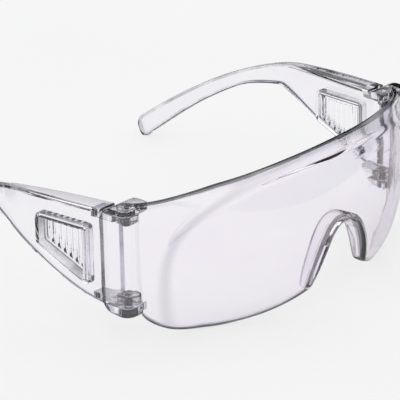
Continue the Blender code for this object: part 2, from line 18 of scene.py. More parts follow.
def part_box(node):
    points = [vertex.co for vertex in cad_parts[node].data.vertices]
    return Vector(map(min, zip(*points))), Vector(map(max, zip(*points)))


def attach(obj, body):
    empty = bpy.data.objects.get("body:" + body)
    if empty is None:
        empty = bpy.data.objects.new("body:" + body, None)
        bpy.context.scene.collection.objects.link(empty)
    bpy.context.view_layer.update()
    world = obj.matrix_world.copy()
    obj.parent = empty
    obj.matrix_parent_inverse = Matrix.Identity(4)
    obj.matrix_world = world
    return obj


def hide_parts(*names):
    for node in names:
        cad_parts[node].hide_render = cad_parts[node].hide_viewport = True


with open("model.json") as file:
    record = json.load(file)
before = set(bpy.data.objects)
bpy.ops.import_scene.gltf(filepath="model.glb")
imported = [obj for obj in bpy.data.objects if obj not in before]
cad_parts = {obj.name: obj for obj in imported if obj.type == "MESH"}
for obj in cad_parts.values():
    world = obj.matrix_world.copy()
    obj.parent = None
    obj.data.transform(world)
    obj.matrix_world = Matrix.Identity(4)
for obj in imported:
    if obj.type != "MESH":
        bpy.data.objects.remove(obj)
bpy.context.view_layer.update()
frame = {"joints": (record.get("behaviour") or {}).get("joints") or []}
MM = 0.001
FINE = 1.0       # share of the full row counts

# ---------------------------------------------------------------- driving dimensions (millimetres)
HALF_WIDTH, WALL, GAP = 80.0, 2.2, 0.35
# Shield base surface: an ellipse in plan, narrower low down and leaning forward with height
BASE_HALF, BASE_DEPTH, RAKE = 79.0, 33.8, 0.061
BASE_NARROW, NARROW_Z = 0.0050, 21.8
TUCK_Z, TUCK = -18.0, 0.015             # the foot tucks inwards below TUCK_Z
# Optical zone, which stands proud of the base surface
OPTIC_DEPTH, OPTIC_Z, OPTIC_RADIUS = 46.4, 3.0, 115.0
OPTIC_STEP_IN, OPTIC_BLEND, OPTIC_LIP, OPTIC_STEP = 6.8, 1.4, 0.9, 2.6
OPTIC_SPAN = 78.0                       # degrees to each side
OPTIC_LOW_Z, OPTIC_RISE, OPTIC_CORNER = -20.0, 49.5, 3.5
OPTIC_SOFT_FRONT, OPTIC_SOFT_SIDE = 3.4, 2.0
# Brow shelf, from its rear top edge to the knee where it turns down into the lens
BROW_HALF, BROW_DEPTH, BROW_POWER, BROW_TOP_Z = 75.8, 28.4, 2.3, 26.4
BROW_END_DROP, BROW_CROWN = 3.0, 0.55
BROW_LEAD = 0.16                        # share of the shelf given over to the rounded rear rim
KNEE_Z, KNEE_DROP = 26.3, 8.0
# Lower outline and nose arch
RIM_LOW_X, RIM_LOW_Z, RIM_END_X, RIM_END_Z, RIM_POWER = 47.0, -30.6, 73.0, -18.0, 1.9
NOSE_HALF, NOSE_TOP_Z, NOSE_FOOT_Z, NOSE_POWER, NOSE_CORNER = 15.2, 2.0, -21.4, 2.5, 1.0
FLANGE_HALF, FLANGE_DEPTH, FLANGE_WALL = 15.6, 7.0, 1.8
FLANGE_MIN_DEPTH, FLANGE_LIFT = 0.6, 0.12
# Shield mesh: the columns are closer over the nose
NOSE_TURN, END_TURN = math.asin(19.0 / 40.0), math.radians(84.0)
RIM_STEPS, RIM_BULGE, BROW_RIM_BULGE = 6, 0.9, 0.62
# Hinge posts, with pin bores at AXIS_X, AXIS_Y
POST_IN, POST_FRONT, POST_CORNER, POST_IN_CORNER = 66.5, -12.6, 4.5, 6.3
POST_TOP, POST_BOTTOM, POST_REAR_CORNER, POST_BEVEL = 21.8, -18.9, 6.5, 0.7
FRONT_ROOM = (60.0, 72.5)               # x span where the block leaves the post's front to the lens
CUT_IN_X = 40.0                         # cuts start this far out, in the open inside the post
LUG, LUG_ROOF, LOWER_LUG_IN = 2.6, 0.9, 69.2
AXIS_X, AXIS_Y = 73.0, -6.3
PIN_RADIUS, PIN_HEAD_RADIUS, PIN_HEAD = 1.3, 2.0, 0.9
BORE_RADIUS = PIN_RADIUS + GAP
KNUCKLE_RADIUS, KNUCKLE_HEIGHT = 3.3, 3.4
THROUGH = 40.0                          # a cut this far up and down passes through any piece
# Temples: a side shield that runs back into an arm with a drooping hook
TEMPLE_OUT, TEMPLE_FRONT, SHIELD_WALL, ARM_WALL = 79.6, 0.5, 2.2, 3.8
BOW_SLOPE, TOE_IN, TOP_Z, DROOP, TOP_CROWN = 0.115, 9.0, 19.9, 0.061, 0.9
HOOK_START, HOOK_END_Y, HOOK_FALL, HOOK_POWER = 44.0, 127.0, 38.5, 1.6
SIDE_FOOT_Z, SIDE_RISE, SIDE_LENGTH, SIDE_POWER = -16.4, 26.5, 51.0, 1.42
ARM_HEIGHT, ARM_NARROWING, ARM_WIDENING, ARM_BLEND = 8.6, 3.0, 0.9, 1.5
TEMPLE_LAST_Y = HOOK_END_Y - 6.0        # the rounded tip starts here
TEMPLE_CORNER, CORNER_STEPS, TIP_STEPS = 1.25, 5, 14
LEDGE_WIDTH, LEDGE_THICK, LEDGE_FRONT, LEDGE_END = 6.5, 1.8, 1.2, 52.0
# Slotted vent box on the temple's inner face
VENT_FRONT, VENT_REAR = 8.8, 31.0
VENT_TOP_FRONT, VENT_TOP_REAR, VENT_LOW_FRONT, VENT_LOW_REAR = 10.6, 11.6, -9.8, 1.2
VENT_DEPTH, VENT_WALL, VENT_MARGIN = 3.6, 1.2, 1.0
VENT_SLOTS, VENT_SLOT_SHARE = 8, 0.56

# ---------------------------------------------------------------- where the worn frame sits
joint = {j["name"]: j for j in frame["joints"]}
RIGHT_HINGE = np.array(joint["right_temple_fold"]["pos_m"]) / MM
LEFT_AXIS = np.array(joint["left_temple_fold"]["axis"], float)
TIP = math.atan2(LEFT_AXIS[1], LEFT_AXIS[2])
# the right hinge's stated point is (-AXIS_X, AXIS_Y, 0) in the worn frame
OFFSET = RIGHT_HINGE - np.array((-AXIS_X, AXIS_Y * math.cos(TIP), -AXIS_Y * math.sin(TIP)))
WORN = Matrix.Translation(Vector(OFFSET * MM)) @ Matrix.Rotation(-TIP, 4, "X")


# ---------------------------------------------------------------- surfaces
def ellipse(half, depth, power, angle):
    """Plan radius of a superellipse at an angle measured from straight ahead."""
    across, along = abs(math.sin(angle) / half), abs(math.cos(angle) / depth)
    return (across ** power + along ** power) ** (-1 / power)


def smooth(t):
    t = min(1.0, max(0.0, t))
    return t * t * (3 - 2 * t)


def smooth_from(value, start, length):
    """0 up to start, easing to 1 over length."""
    return smooth((value - start) / length)


def soft_max(one, other, blend):
    return 0.5 * (one + other + math.sqrt((one - other) ** 2 + blend * blend))


def knee_z(angle):
    return KNEE_Z - KNEE_DROP * math.sin(angle) ** 4


def optic_share(angle, z):
    """1 inside the optical zone, easing to 0 at its boundary."""
    turn = math.degrees(abs(angle))
    across, above = turn / OPTIC_SPAN, max(0.0, z - OPTIC_LOW_Z) / OPTIC_RISE
    inside = 1 - (across ** OPTIC_CORNER + above ** OPTIC_CORNER) ** (1 / OPTIC_CORNER)
    side = smooth_from(turn, 58.0, 16.0)
    soft = OPTIC_SOFT_FRONT + (OPTIC_SOFT_SIDE - OPTIC_SOFT_FRONT) * side
    return smooth(inside * OPTIC_RISE / soft)


def front_radius(angle, z):
    """Plan radius of the shield's outer face."""
    keep = 1 - 0.75 * smooth_from(math.degrees(abs(angle)), 66.0, 13.0)
    half = BASE_HALF - BASE_NARROW * keep * max(0.0, NARROW_Z - z) ** 2
    base = ellipse(half, BASE_DEPTH - RAKE * z, 2, angle)
    optic_depth = OPTIC_DEPTH - RAKE * z - (z - OPTIC_Z) ** 2 / OPTIC_RADIUS
    optic = ellipse(half - OPTIC_STEP_IN, optic_depth, 2, angle)
    full = soft_max(optic - base, 0.0, OPTIC_BLEND) + OPTIC_LIP
    band = soft_max(full - OPTIC_STEP, 0.0, OPTIC_BLEND)
    proud = band + (full - band) * optic_share(angle, z)
    return base + proud - TUCK * max(0.0, TUCK_Z - z) ** 2


def lower_outline(x):
    """Height of the shield's lower edge: the nose arch blended into the rim below each eye."""
    x = abs(x)
    nose = NOSE_TOP_Z + (NOSE_FOOT_Z - NOSE_TOP_Z) * (x / NOSE_HALF) ** NOSE_POWER
    if x < RIM_LOW_X:
        share = (RIM_LOW_X - x) / (RIM_LOW_X - NOSE_HALF)
        rim = RIM_LOW_Z + (NOSE_FOOT_Z - RIM_LOW_Z) * share ** 2
    else:
        t = min(1.0, (x - RIM_LOW_X) / (RIM_END_X - RIM_LOW_X))
        rim = RIM_LOW_Z + (RIM_END_Z - RIM_LOW_Z) * (1 - (1 - t ** RIM_POWER) ** (1 / RIM_POWER))
    return soft_max(nose, rim, NOSE_CORNER)


def at(radius, angle, z):
    return np.array((radius * math.sin(angle), -radius * math.cos(angle), z))


def lens_foot(angle):
    """Height where the shield meets the lower outline; each depends on the other, so it iterates."""
    z = -10.0
    for _ in range(40):
        z = 0.5 * (z + lower_outline(front_radius(angle, z) * math.sin(angle)))
    return z


def top_edge(y):
    flat = TOP_Z + TOP_CROWN * math.sin(math.pi * min(max(0.0, y), HOOK_START) / 90.0)
    t = max(0.0, (y - HOOK_START) / (HOOK_END_Y - HOOK_START))
    return flat - HOOK_FALL * t ** HOOK_POWER - DROOP * y


def top_slope(y):
    return top_edge(y + 0.5) - top_edge(y - 0.5)


def bottom_edge(y):
    """The side shield's rising foot, blended into the underside of the arm."""
    shield = SIDE_FOOT_Z + SIDE_RISE * (max(0.0, y) / SIDE_LENGTH) ** SIDE_POWER - DROOP * y
    height = (ARM_HEIGHT - ARM_NARROWING * smooth_from(y, 50.0, 26.0)
              + ARM_WIDENING * smooth_from(y, 88.0, 34.0))
    arm = top_edge(y) - height * math.hypot(1, top_slope(y))
    return -soft_max(-shield, -arm, ARM_BLEND)


def temple_toe(y):
    """How far the temple stands inwards at y: it bows out first, then toes in."""
    return -BOW_SLOPE * y + (TOE_IN + BOW_SLOPE * HOOK_END_Y) * (y / HOOK_END_Y) ** 2


# ---------------------------------------------------------------- solids
# A solid is (points, faces) or (points, faces, slots).
# the edge slots carry painted shade: dark and soft grey colours where clear plastic's edges look dark
# through refraction
CLEAR, DARK_SHADE, SOFT_SHADE = 0, 1, 2     # face slots: the wall, its darkest edges, its softer edges
SOFT_STEPS = 4                  # rings in a rounded prism edge
holders = [bpy.data.materials.new(f"holder_{k}") for k in range(3)]


def ring_loft(rings):
    """Quads between successive closed rings, capped at both ends."""
    n = len(rings[0])
    points = [p for ring in rings for p in ring]
    faces = []
    for i in range(len(rings) - 1):
        for j in range(n):
            k = (j + 1) % n
            faces.append((i * n + j, i * n + k, (i + 1) * n + k, (i + 1) * n + j))
    faces.append(tuple(range(n))[::-1])
    faces.append(tuple((len(rings) - 1) * n + j for j in range(n)))
    return points, faces


def ring_slots(rings, columns):
    """Slots for ring_loft's faces: columns maps a ring column to its slot, the rest are clear."""
    row = [columns.get(j, CLEAR) for j in range(len(rings[0]))]
    return row * (len(rings) - 1) + [CLEAR, CLEAR]


def lifted(outline, axis, level):
    """A flat outline set at a level along an axis; its pairs fill the other two in order."""
    ring = []
    for pair in outline:
        point = list(pair)
        point.insert(axis, level)
        ring.append(tuple(point))
    return ring


def prism(outline, axis, low, high):
    return ring_loft([lifted(outline, axis, low), lifted(outline, axis, high)])


def inset(outline, amount):
    """A closed convex outline moved inwards by amount along its corner normals."""
    points = np.array(outline, float)
    back, ahead = np.roll(points, 1, axis=0), np.roll(points, -1, axis=0)
    tangent = ahead - back
    tangent /= np.maximum(np.linalg.norm(tangent, axis=1, keepdims=True), 1e-9)
    normal = np.stack([-tangent[:, 1], tangent[:, 0]], axis=1)
    area = 0.5 * np.sum(points[:, 0] * ahead[:, 1] - ahead[:, 0] * points[:, 1])
    return [tuple(p) for p in points + normal * amount * (1 if area > 0 else -1)]


def soft_prism(outline, axis, low, high, radius, wall=CLEAR, edge=CLEAR, columns=None):
    """A prism with both end edges rounded; columns gives some outline columns their own slot."""
    curve = []
    for k in range(SOFT_STEPS + 1):
        angle = 0.5 * math.pi * k / SOFT_STEPS
        curve.append((radius * (1 - math.sin(angle)), radius * (1 - math.cos(angle))))
    rings = [lifted(inset(outline, draw), axis, low + rise) for rise, draw in reversed(curve)]
    rings += [lifted(inset(outline, draw), axis, high - rise) for rise, draw in curve]
    slots = []
    for i in range(len(rings) - 1):
        usual = wall if i == SOFT_STEPS else edge
        slots += [(columns or {}).get(j, usual) for j in range(len(outline))]
    return (*ring_loft(rings), slots + [CLEAR, CLEAR])


def circle(x, y, radius, sides):
    turns = [2 * math.pi * i / sides for i in range(sides)]
    return [(x + radius * math.cos(turn), y + radius * math.sin(turn)) for turn in turns]


def rounded(corners, radii, steps):
    """An outline with each corner eased over its radius; a zero radius stays sharp."""
    out = []
    for i, (place, radius) in enumerate(zip(corners, radii)):
        corner = np.array(place, float)
        back = np.array(corners[i - 1], float) - corner
        ahead = np.array(corners[(i + 1) % len(corners)], float) - corner
        if radius <= 0:
            out.append(tuple(corner))
            continue
        start = corner + back / np.linalg.norm(back) * radius
        end = corner + ahead / np.linalg.norm(ahead) * radius
        for k in range(steps + 1):
            t = k / steps
            out.append(tuple((1 - t) ** 2 * start + 2 * t * (1 - t) * corner + t * t * end))
    return out


# ---------------------------------------------------------------- objects and cuts
def build(solid, side=1, slots=None, name="helper"):
    """An object from a solid, mirrored in X for side -1, with normals outwards.

    slots is one slot for every face, used where the solid carries none of its own.
    """
    points, faces, *own = solid
    mesh = bpy.data.meshes.new(name)
    places = [(p[0] * side, p[1], p[2]) for p in points]
    mesh.from_pydata([tuple(np.array(p, float) * MM) for p in places], [], faces)
    for holder in holders:
        mesh.materials.append(holder)
    if own:
        slots = own[0]
    elif slots is not None:
        slots = [slots] * len(mesh.polygons)
    if slots is not None:
        mesh.polygons.foreach_set("material_index", np.array(slots, np.int32))
    bm = bmesh.new()
    bm.from_mesh(mesh)
    bmesh.ops.recalc_face_normals(bm, faces=bm.faces)
    if bm.calc_volume(signed=True) < 0:
        bmesh.ops.reverse_faces(bm, faces=bm.faces)
    bm.to_mesh(mesh)
    bm.free()
    made = bpy.data.objects.new(name, mesh)
    bpy.context.scene.collection.objects.link(made)
    made.matrix_world = WORN
    return made


def apply_modifiers(obj):
    bpy.context.view_layer.update()
    graph = bpy.context.evaluated_depsgraph_get()
    mesh = bpy.data.meshes.new_from_object(obj.evaluated_get(graph), depsgraph=graph)
    obj.modifiers.clear()
    old = obj.data
    obj.data = mesh
    bpy.data.meshes.remove(old)


def combine(target, operation, other):
    """Boolean applied at once; the other object is removed."""
    made = target.modifiers.new("cut", "BOOLEAN")
    made.operation = operation
    made.solver = "EXACT"
    made.object = other
    apply_modifiers(target)
    bpy.data.objects.remove(other, do_unlink=True)


def join(target, solid, side=1, slots=None):
    combine(target, "UNION", build(solid, side, slots))


def cut(target, solid, side=1, slots=None):
    combine(target, "DIFFERENCE", build(solid, side, slots))


# ---------------------------------------------------------------- front shield
def shield_angles():
    nose, side = int(44 * FINE), int(96 * FINE)
    half = [NOSE_TURN * i / nose for i in range(nose)]
    half += [NOSE_TURN + (END_TURN - NOSE_TURN) * i / side for i in range(side + 1)]
    return [-angle for angle in half[:0:-1]] + half


def shield_column(angle, brow_rows, lens_rows):
    """Outer points from the shelf's rear edge forward to the knee, then down to the foot."""
    knee, foot = knee_z(angle), lens_foot(angle) + WALL / 2 * 0.9
    drop = smooth_from(math.degrees(abs(angle)), 60.0, 24.0)
    top_radius = ellipse(BROW_HALF, BROW_DEPTH, BROW_POWER, angle)
    top_z = BROW_TOP_Z - BROW_END_DROP * drop
    knee_radius = front_radius(angle, knee)
    points = []
    for i in range(brow_rows):
        t = BROW_LEAD + (1 - BROW_LEAD) * i / brow_rows
        crown = BROW_CROWN * math.sin(math.pi * t)
        radius = top_radius + (knee_radius - top_radius) * t + crown
        points.append(at(radius, angle, top_z + (knee - top_z) * t + crown))
    for i in range(lens_rows + 1):
        t = i / lens_rows
        t = 0.8 * t + 0.2 * t * t       # closer rows near the knee
        z = knee + (foot - knee) * t
        points.append(at(front_radius(angle, z), angle, z))
    return np.array(points)


def eased_normals(normal):
    """Normals smoothed down the columns, then across them."""
    eased = normal.copy()
    for turns, axis in ((26, 1), (16, 0)):
        inside = [slice(None)] * 3
        inside[axis] = slice(1, -1)
        inside = tuple(inside)
        for _ in range(int(turns * FINE)):
            before, after = np.roll(eased, 1, axis), np.roll(eased, -1, axis)
            mixed = 0.25 * before + 0.5 * eased + 0.25 * after
            eased[inside] = mixed[inside]
        eased /= np.linalg.norm(eased, axis=2, keepdims=True)
    return eased


def half_round(outer, inner, normal, bulge):
    """Points of a rounded rim between the two faces' edges."""
    centre = 0.5 * (outer + inner)
    turns = [math.pi * k / RIM_STEPS for k in range(1, RIM_STEPS)]
    return [centre + WALL / 2 * (normal * math.cos(turn) + bulge * math.sin(turn)) for turn in turns]


def shield_solid():
    angles = shield_angles()
    brow_rows, lens_rows = int(14 * FINE), int(76 * FINE)
    outer = np.array([shield_column(angle, brow_rows, lens_rows) for angle in angles])
    # soften the crease where the shelf turns down into the lens
    for _ in range(7):
        for j in range(brow_rows - 4, brow_rows + 5):
            outer[:, j] = 0.25 * outer[:, j - 1] + 0.5 * outer[:, j] + 0.25 * outer[:, j + 1]
    across, down = np.gradient(outer, axis=0), np.gradient(outer, axis=1)
    normal = np.cross(down, across)
    normal /= np.linalg.norm(normal, axis=2, keepdims=True)
    if normal[len(angles) // 2, 20] @ np.array((0, -1.0, 0)) < 0:
        normal = -normal
    # the inner face follows the outer one with its bends eased, at an even wall
    eased = eased_normals(normal)
    square = np.clip(np.sum(eased * normal, axis=2, keepdims=True), 0.8, 1.0)
    inner = outer - eased * WALL / square
    tangent = down / np.linalg.norm(down, axis=2, keepdims=True)
    rings = []
    for i in range(len(angles)):
        ring = list(outer[i])
        ring += half_round(outer[i, -1], inner[i, -1], eased[i, -1], tangent[i, -1] * RIM_BULGE)
        ring += list(inner[i][::-1])
        ring += half_round(outer[i, 0], inner[i, 0], -eased[i, 0], -tangent[i, 0] * BROW_RIM_BULGE)
        rings.append(ring)
    rows, n = len(outer[0]), len(rings[0])
    # painted shade on the lower rim and the shelf's rear edge
    columns = {rows - 2 + k: SOFT_SHADE for k in range(RIM_STEPS + 2)}        # lower rim
    columns.update({rows - 1 + k: DARK_SHADE for k in range(RIM_STEPS)})
    columns.update({n - RIM_STEPS + k: DARK_SHADE for k in range(RIM_STEPS)})   # shelf's rear edge
    columns.update({0: DARK_SHADE, 1: DARK_SHADE, 2: DARK_SHADE, 3: SOFT_SHADE})
    slots = ring_slots(rings, columns)
    # the painted dark shade widens as the edge turns to the sides
    for i in range(len(rings) - 1):     # the dark edge widens as it turns to the sides
        if abs(math.degrees(angles[i])) > 18.0:
            slots[i * n + 3] = DARK_SHADE
            slots[i * n + 4] = SOFT_SHADE
    return (*ring_loft(rings), slots)


def nose_flange():
    """A strip that runs back from the lens along the nose arch."""
    count = int(96 * FINE) | 1
    low, high = FLANGE_LIFT, FLANGE_LIFT + FLANGE_WALL
    rear_high = FLANGE_LIFT + FLANGE_WALL * 0.8
    edge = 0.5 * (rear_high - low)
    step = 0.05
    rings = []
    for i in range(count):
        share = -1 + 2 * i / (count - 1)
        x = FLANGE_HALF * math.sin(share * math.pi / 2)
        z = lower_outline(x)
        slope = (lower_outline(x + step) - lower_outline(x - step)) / (2 * step)
        length = math.hypot(1, slope)
        normal_x, normal_z = -slope / length, 1 / length
        depth = FLANGE_MIN_DEPTH + FLANGE_DEPTH * (1 - abs(share) ** 3)
        turn = math.asin(x / 44.0)
        y = -front_radius(turn, z) * math.cos(turn)
        front, rear = y + 0.5, y + WALL + depth
        run = rear - front
        # columns: distance off the outline, y
        ring = [(low + 0.35, front), (high, front),
                (high, front + 0.40 * run), (high, front + 0.52 * run)]
        for k in range(7):
            angle = math.pi * k / 6
            ring.append((low + edge + edge * math.cos(angle), rear - edge + edge * math.sin(angle)))
        ring.append((low, front + 0.35))
        rings.append([(x + normal_x * off, ring_y, z + normal_z * off) for off, ring_y in ring])
    # painted shade along the flange's edges
    columns = {1: DARK_SHADE, 2: SOFT_SHADE, 4: SOFT_SHADE, 5: DARK_SHADE, 6: DARK_SHADE, 7: DARK_SHADE, 8: SOFT_SHADE, 9: SOFT_SHADE, 11: DARK_SHADE}
    return (*ring_loft(rings), ring_slots(rings, columns))


def post_slot(centre, normal):
    """Slot of a post face from its centre (millimetres) and normal, both in the worn frame: which
    faces get dark or soft painted shade.
    """
    rear_outer = centre[1] > -1.75 and abs(centre[0]) > 79.0
    rear_facing = normal[1] > 0.3
    tilted = 0.2 < abs(normal[2]) < 0.97
    if rear_outer or (rear_facing and centre[1] > -6.6) or tilted:
        return DARK_SHADE
    return SOFT_SHADE if rear_facing or abs(normal[2]) > 0.8 else CLEAR


def post_block(side):
    plan = rounded([(POST_IN, POST_FRONT), (HALF_WIDTH, POST_FRONT), (HALF_WIDTH, -1.7),
                    (HALF_WIDTH, 0), (POST_IN, 0)], [0, POST_CORNER, 0, 0, POST_IN_CORNER], 9)
    block = build(prism(plan, 2, POST_BOTTOM, POST_TOP), side)
    low, high = POST_BOTTOM - 0.01, POST_TOP + 0.01
    side_view = rounded([(-40, low), (0, low), (0, high), (-40, high)],
                        [0, POST_REAR_CORNER, POST_REAR_CORNER, 0], 12)
    combine(block, "INTERSECT", build(prism(side_view, 0, 50, 90), side))
    room_in, room_out = FRONT_ROOM
    room_front, room_rear = POST_FRONT - 1.0, POST_FRONT + WALL
    room = [(room_in, room_front), (room_out, room_front), (room_out, room_rear), (room_in, room_rear)]
    cut(block, prism(room, 2, -THROUGH, THROUGH), side)
    bevel = block.modifiers.new("soft", "BEVEL")
    bevel.width = POST_BEVEL * MM
    bevel.segments = 4
    bevel.limit_method = "ANGLE"
    bevel.angle_limit = math.radians(40)
    bevel.use_clamp_overlap = True
    apply_modifiers(block)
    for polygon in block.data.polygons:
        centre = tuple(c / MM for c in polygon.center)
        polygon.material_index = post_slot(centre, tuple(polygon.normal))
    return block


def front_piece():
    front = build(shield_solid(), name="front_shield_fine")
    join(front, nose_flange())
    wall_rear = POST_FRONT + WALL
    for side in (-1, 1):
        combine(front, "UNION", post_block(side))
        # knuckle pocket between the two lugs
        pocket_out = HALF_WIDTH - WALL
        plan = rounded([(CUT_IN_X, wall_rear), (pocket_out, wall_rear), (pocket_out, 12),
                        (CUT_IN_X, 12)], [0, POST_CORNER - WALL, 0, 0], 9)
        cut(front, soft_prism(plan, 2, POST_BOTTOM + LUG, POST_TOP - LUG, 0.5, edge=SOFT_SHADE,
                              columns={7: SOFT_SHADE, 8: SOFT_SHADE, 9: SOFT_SHADE}), side)
        # the upper bore stops below a thin roof, the lower one is open
        for low, high, slot in ((0.0, POST_TOP - LUG_ROOF, DARK_SHADE), (-THROUGH, 0.0, SOFT_SHADE)):
            bore = circle(AXIS_X * side, AXIS_Y, BORE_RADIUS, 40)
            cut(front, prism(bore, 2, low, high), slots=slot)
        # the lower lug reaches less far inwards
        plan = rounded([(CUT_IN_X, wall_rear), (LOWER_LUG_IN, wall_rear), (LOWER_LUG_IN, 3.0),
                        (CUT_IN_X, 3.0)], [0, 1.0, 0, 0], 5)
        cut(front, prism(plan, 2, POST_BOTTOM - 2, POST_BOTTOM + LUG + 0.5), side, SOFT_SHADE)
    return front


# ---------------------------------------------------------------- temples
def temple_slot(column, y, in_tip):
    """Columns run in four corner arcs, low inner, low outer, high outer and high inner,
    with a wall after each."""
    # the slots choose which arm faces get dark or soft painted shade
    step = CORNER_STEPS + 1
    if column < 2 * step - 1:
        return SOFT_SHADE
    if 2 * step <= column < 3 * step - 1:
        if y < 33.0:
            return CLEAR
        return DARK_SHADE if y < 53.0 else SOFT_SHADE
    if 3 * step <= column < 4 * step - 1 and y > 46.0:
        return SOFT_SHADE
    if column == 3 * step - 1 and y > 56.0:
        return SOFT_SHADE
    return SOFT_SHADE if in_tip else CLEAR


def temple_body():
    count = int(110 * FINE)
    rings = []
    for i in range(count + 1):
        y = TEMPLE_FRONT + (TEMPLE_LAST_Y - TEMPLE_FRONT) * i / count
        high, low, slope = top_edge(y), bottom_edge(y), top_slope(y)
        thick = SHIELD_WALL + (ARM_WALL - SHIELD_WALL) * smooth_from(y, 36.0, 20.0)
        outside = TEMPLE_OUT - temple_toe(y)
        inside = outside - thick
        edge = min(TEMPLE_CORNER, thick * 0.42)
        ring = rounded([(inside, low), (outside, low), (outside, high), (inside, high)],
                       [edge] * 4, CORNER_STEPS)
        lean = 0.55 * smooth_from(y, 50.0, 40.0)    # sections turn towards square to the hook
        middle = 0.5 * (high + low)
        rings.append([(x, y + (z - middle) * (-slope) * lean, z) for x, z in ring])
    # rounded tip
    slope = top_slope(TEMPLE_LAST_Y)
    length = math.hypot(1, slope)
    half = 0.5 * (top_edge(TEMPLE_LAST_Y) - bottom_edge(TEMPLE_LAST_Y))
    base = np.array(rings[-1])
    centre = base.mean(axis=0)
    for k in range(1, TIP_STEPS + 1):
        angle = 0.5 * math.pi * k / (TIP_STEPS + 0.5)
        scale = math.cos(angle)
        run = half / length * 0.95 * math.sin(angle)
        shift = np.array((0.0, run / length, run * slope / length))
        shrink = np.array((1 - 0.45 * (1 - scale), scale, scale))
        rings.append([tuple(centre + (p - centre) * shrink + shift) for p in base])
    slots = [temple_slot(j, rings[i][0][1], i > count + 4)
             for i in range(len(rings) - 1) for j in range(len(base))]
    return (*ring_loft(rings), slots + [SOFT_SHADE, SOFT_SHADE])


def temple_ledge():
    """A ledge inwards from the top edge, narrowing to the rear."""
    count = int(40 * FINE)
    edge = 0.5 * LEDGE_THICK
    rings = []
    for i in range(count + 1):
        t = i / count
        y = LEDGE_FRONT + (LEDGE_END - LEDGE_FRONT) * t
        width = LEDGE_WIDTH * (1 - t ** 2) + 0.3
        z = top_edge(y) - 0.15
        toe = temple_toe(y)
        x = TEMPLE_OUT - 1.0 - toe
        ring = [(x, z - LEDGE_THICK), (x, z)]
        tip_x = TEMPLE_OUT - SHIELD_WALL - toe - width
        for k in range(7):
            angle = 0.5 * math.pi + math.pi * k / 6
            ring.append((tip_x + edge + edge * math.cos(angle), z - edge + edge * math.sin(angle)))
        rings.append([(ring_x, y, ring_z) for ring_x, ring_z in ring])
    return (*ring_loft(rings), ring_slots(rings, {4: SOFT_SHADE, 5: SOFT_SHADE}))


def vent_outline(grow, radius):
    corners = [(VENT_FRONT - grow, VENT_LOW_FRONT - grow * 1.3),
               (VENT_REAR + grow, VENT_LOW_REAR - grow * 0.9),
               (VENT_REAR + grow, VENT_TOP_REAR + grow), (VENT_FRONT - grow, VENT_TOP_FRONT + grow)]
    return rounded(corners, [radius] * 4, 6)


def bowed(solid):
    """A solid drawn square to the axes, sheared to follow the temple's bow and droop."""
    near, far = temple_toe(VENT_FRONT), temple_toe(VENT_REAR)
    slope = (far - near) / (VENT_REAR - VENT_FRONT)
    points = [(x - near - slope * (y - VENT_FRONT), y, z - DROOP * y) for x, y, z in solid[0]]
    return (points, *solid[1:])


def slot_outline(index):
    pitch = (VENT_REAR - VENT_FRONT) / VENT_SLOTS
    front = VENT_FRONT + pitch * (index + 0.5 - 0.5 * VENT_SLOT_SHARE)
    rear = front + pitch * VENT_SLOT_SHARE

    def low(y):
        t = (y - VENT_FRONT) / (VENT_REAR - VENT_FRONT)
        return VENT_LOW_FRONT + (VENT_LOW_REAR - VENT_LOW_FRONT) * t + VENT_MARGIN

    def high(y):
        t = (y - VENT_FRONT) / (VENT_REAR - VENT_FRONT)
        return VENT_TOP_FRONT + (VENT_TOP_REAR - VENT_TOP_FRONT) * t - VENT_MARGIN

    corners = [(front, low(front)), (rear, low(rear)), (rear, high(rear)), (front, high(front))]
    return rounded(corners, [0.45] * 4, 4)


def add_vent(body, side):
    inner = TEMPLE_OUT - SHIELD_WALL
    box_in = inner - VENT_DEPTH
    box = soft_prism(vent_outline(VENT_WALL, 2.2), 0, box_in, inner + 1.0, 0.5,
                     wall=SOFT_SHADE, edge=SOFT_SHADE)
    join(body, bowed(box), side)
    pocket = soft_prism(vent_outline(0, 1.2), 0, box_in + VENT_WALL, inner + 10, 0.4,
                        wall=SOFT_SHADE, edge=DARK_SHADE)
    cut(body, bowed(pocket), side)
    for index in range(VENT_SLOTS):
        cut(body, bowed(prism(slot_outline(index), 0, inner - 12, inner + 12)), side, CLEAR)


def knuckle(side, z_sign):
    """A hinge barrel under the upper lug or over the lower one, with its web to the temple."""
    face = (POST_TOP - LUG - GAP) if z_sign > 0 else (POST_BOTTOM + LUG + GAP)
    low, high = sorted((face, face - z_sign * KNUCKLE_HEIGHT))
    outline = circle(AXIS_X, AXIS_Y, KNUCKLE_RADIUS, 56)
    barrel = build(soft_prism(outline, 2, low, high, 0.45, wall=SOFT_SHADE, edge=DARK_SHADE), side)
    reach, web_out = HALF_WIDTH - WALL - GAP, TEMPLE_OUT - 0.8
    web_step, web_rear = GAP + 0.25, 5.2
    web = rounded([(AXIS_X - KNUCKLE_RADIUS * 0.55, AXIS_Y), (reach, AXIS_Y + 1.5),
                   (reach, web_step), (web_out, web_step), (web_out, web_rear),
                   (AXIS_X - 1.2, web_rear)], [0, 1.2, 0, 0, 0, 2.5], 6)
    join(barrel, prism(web, 2, low + 0.6, high - 0.6), side, SOFT_SHADE)
    return barrel


def temple_piece(side, label):
    body = build(temple_body(), side, name=f"{label}_temple_fine")
    join(body, temple_ledge(), side)
    add_vent(body, side)
    for z_sign in (1, -1):
        combine(body, "UNION", knuckle(side, z_sign))
    bore = circle(AXIS_X, AXIS_Y, BORE_RADIUS, 40)
    cut(body, prism(bore, 2, -THROUGH, THROUGH), side, DARK_SHADE)
    return body


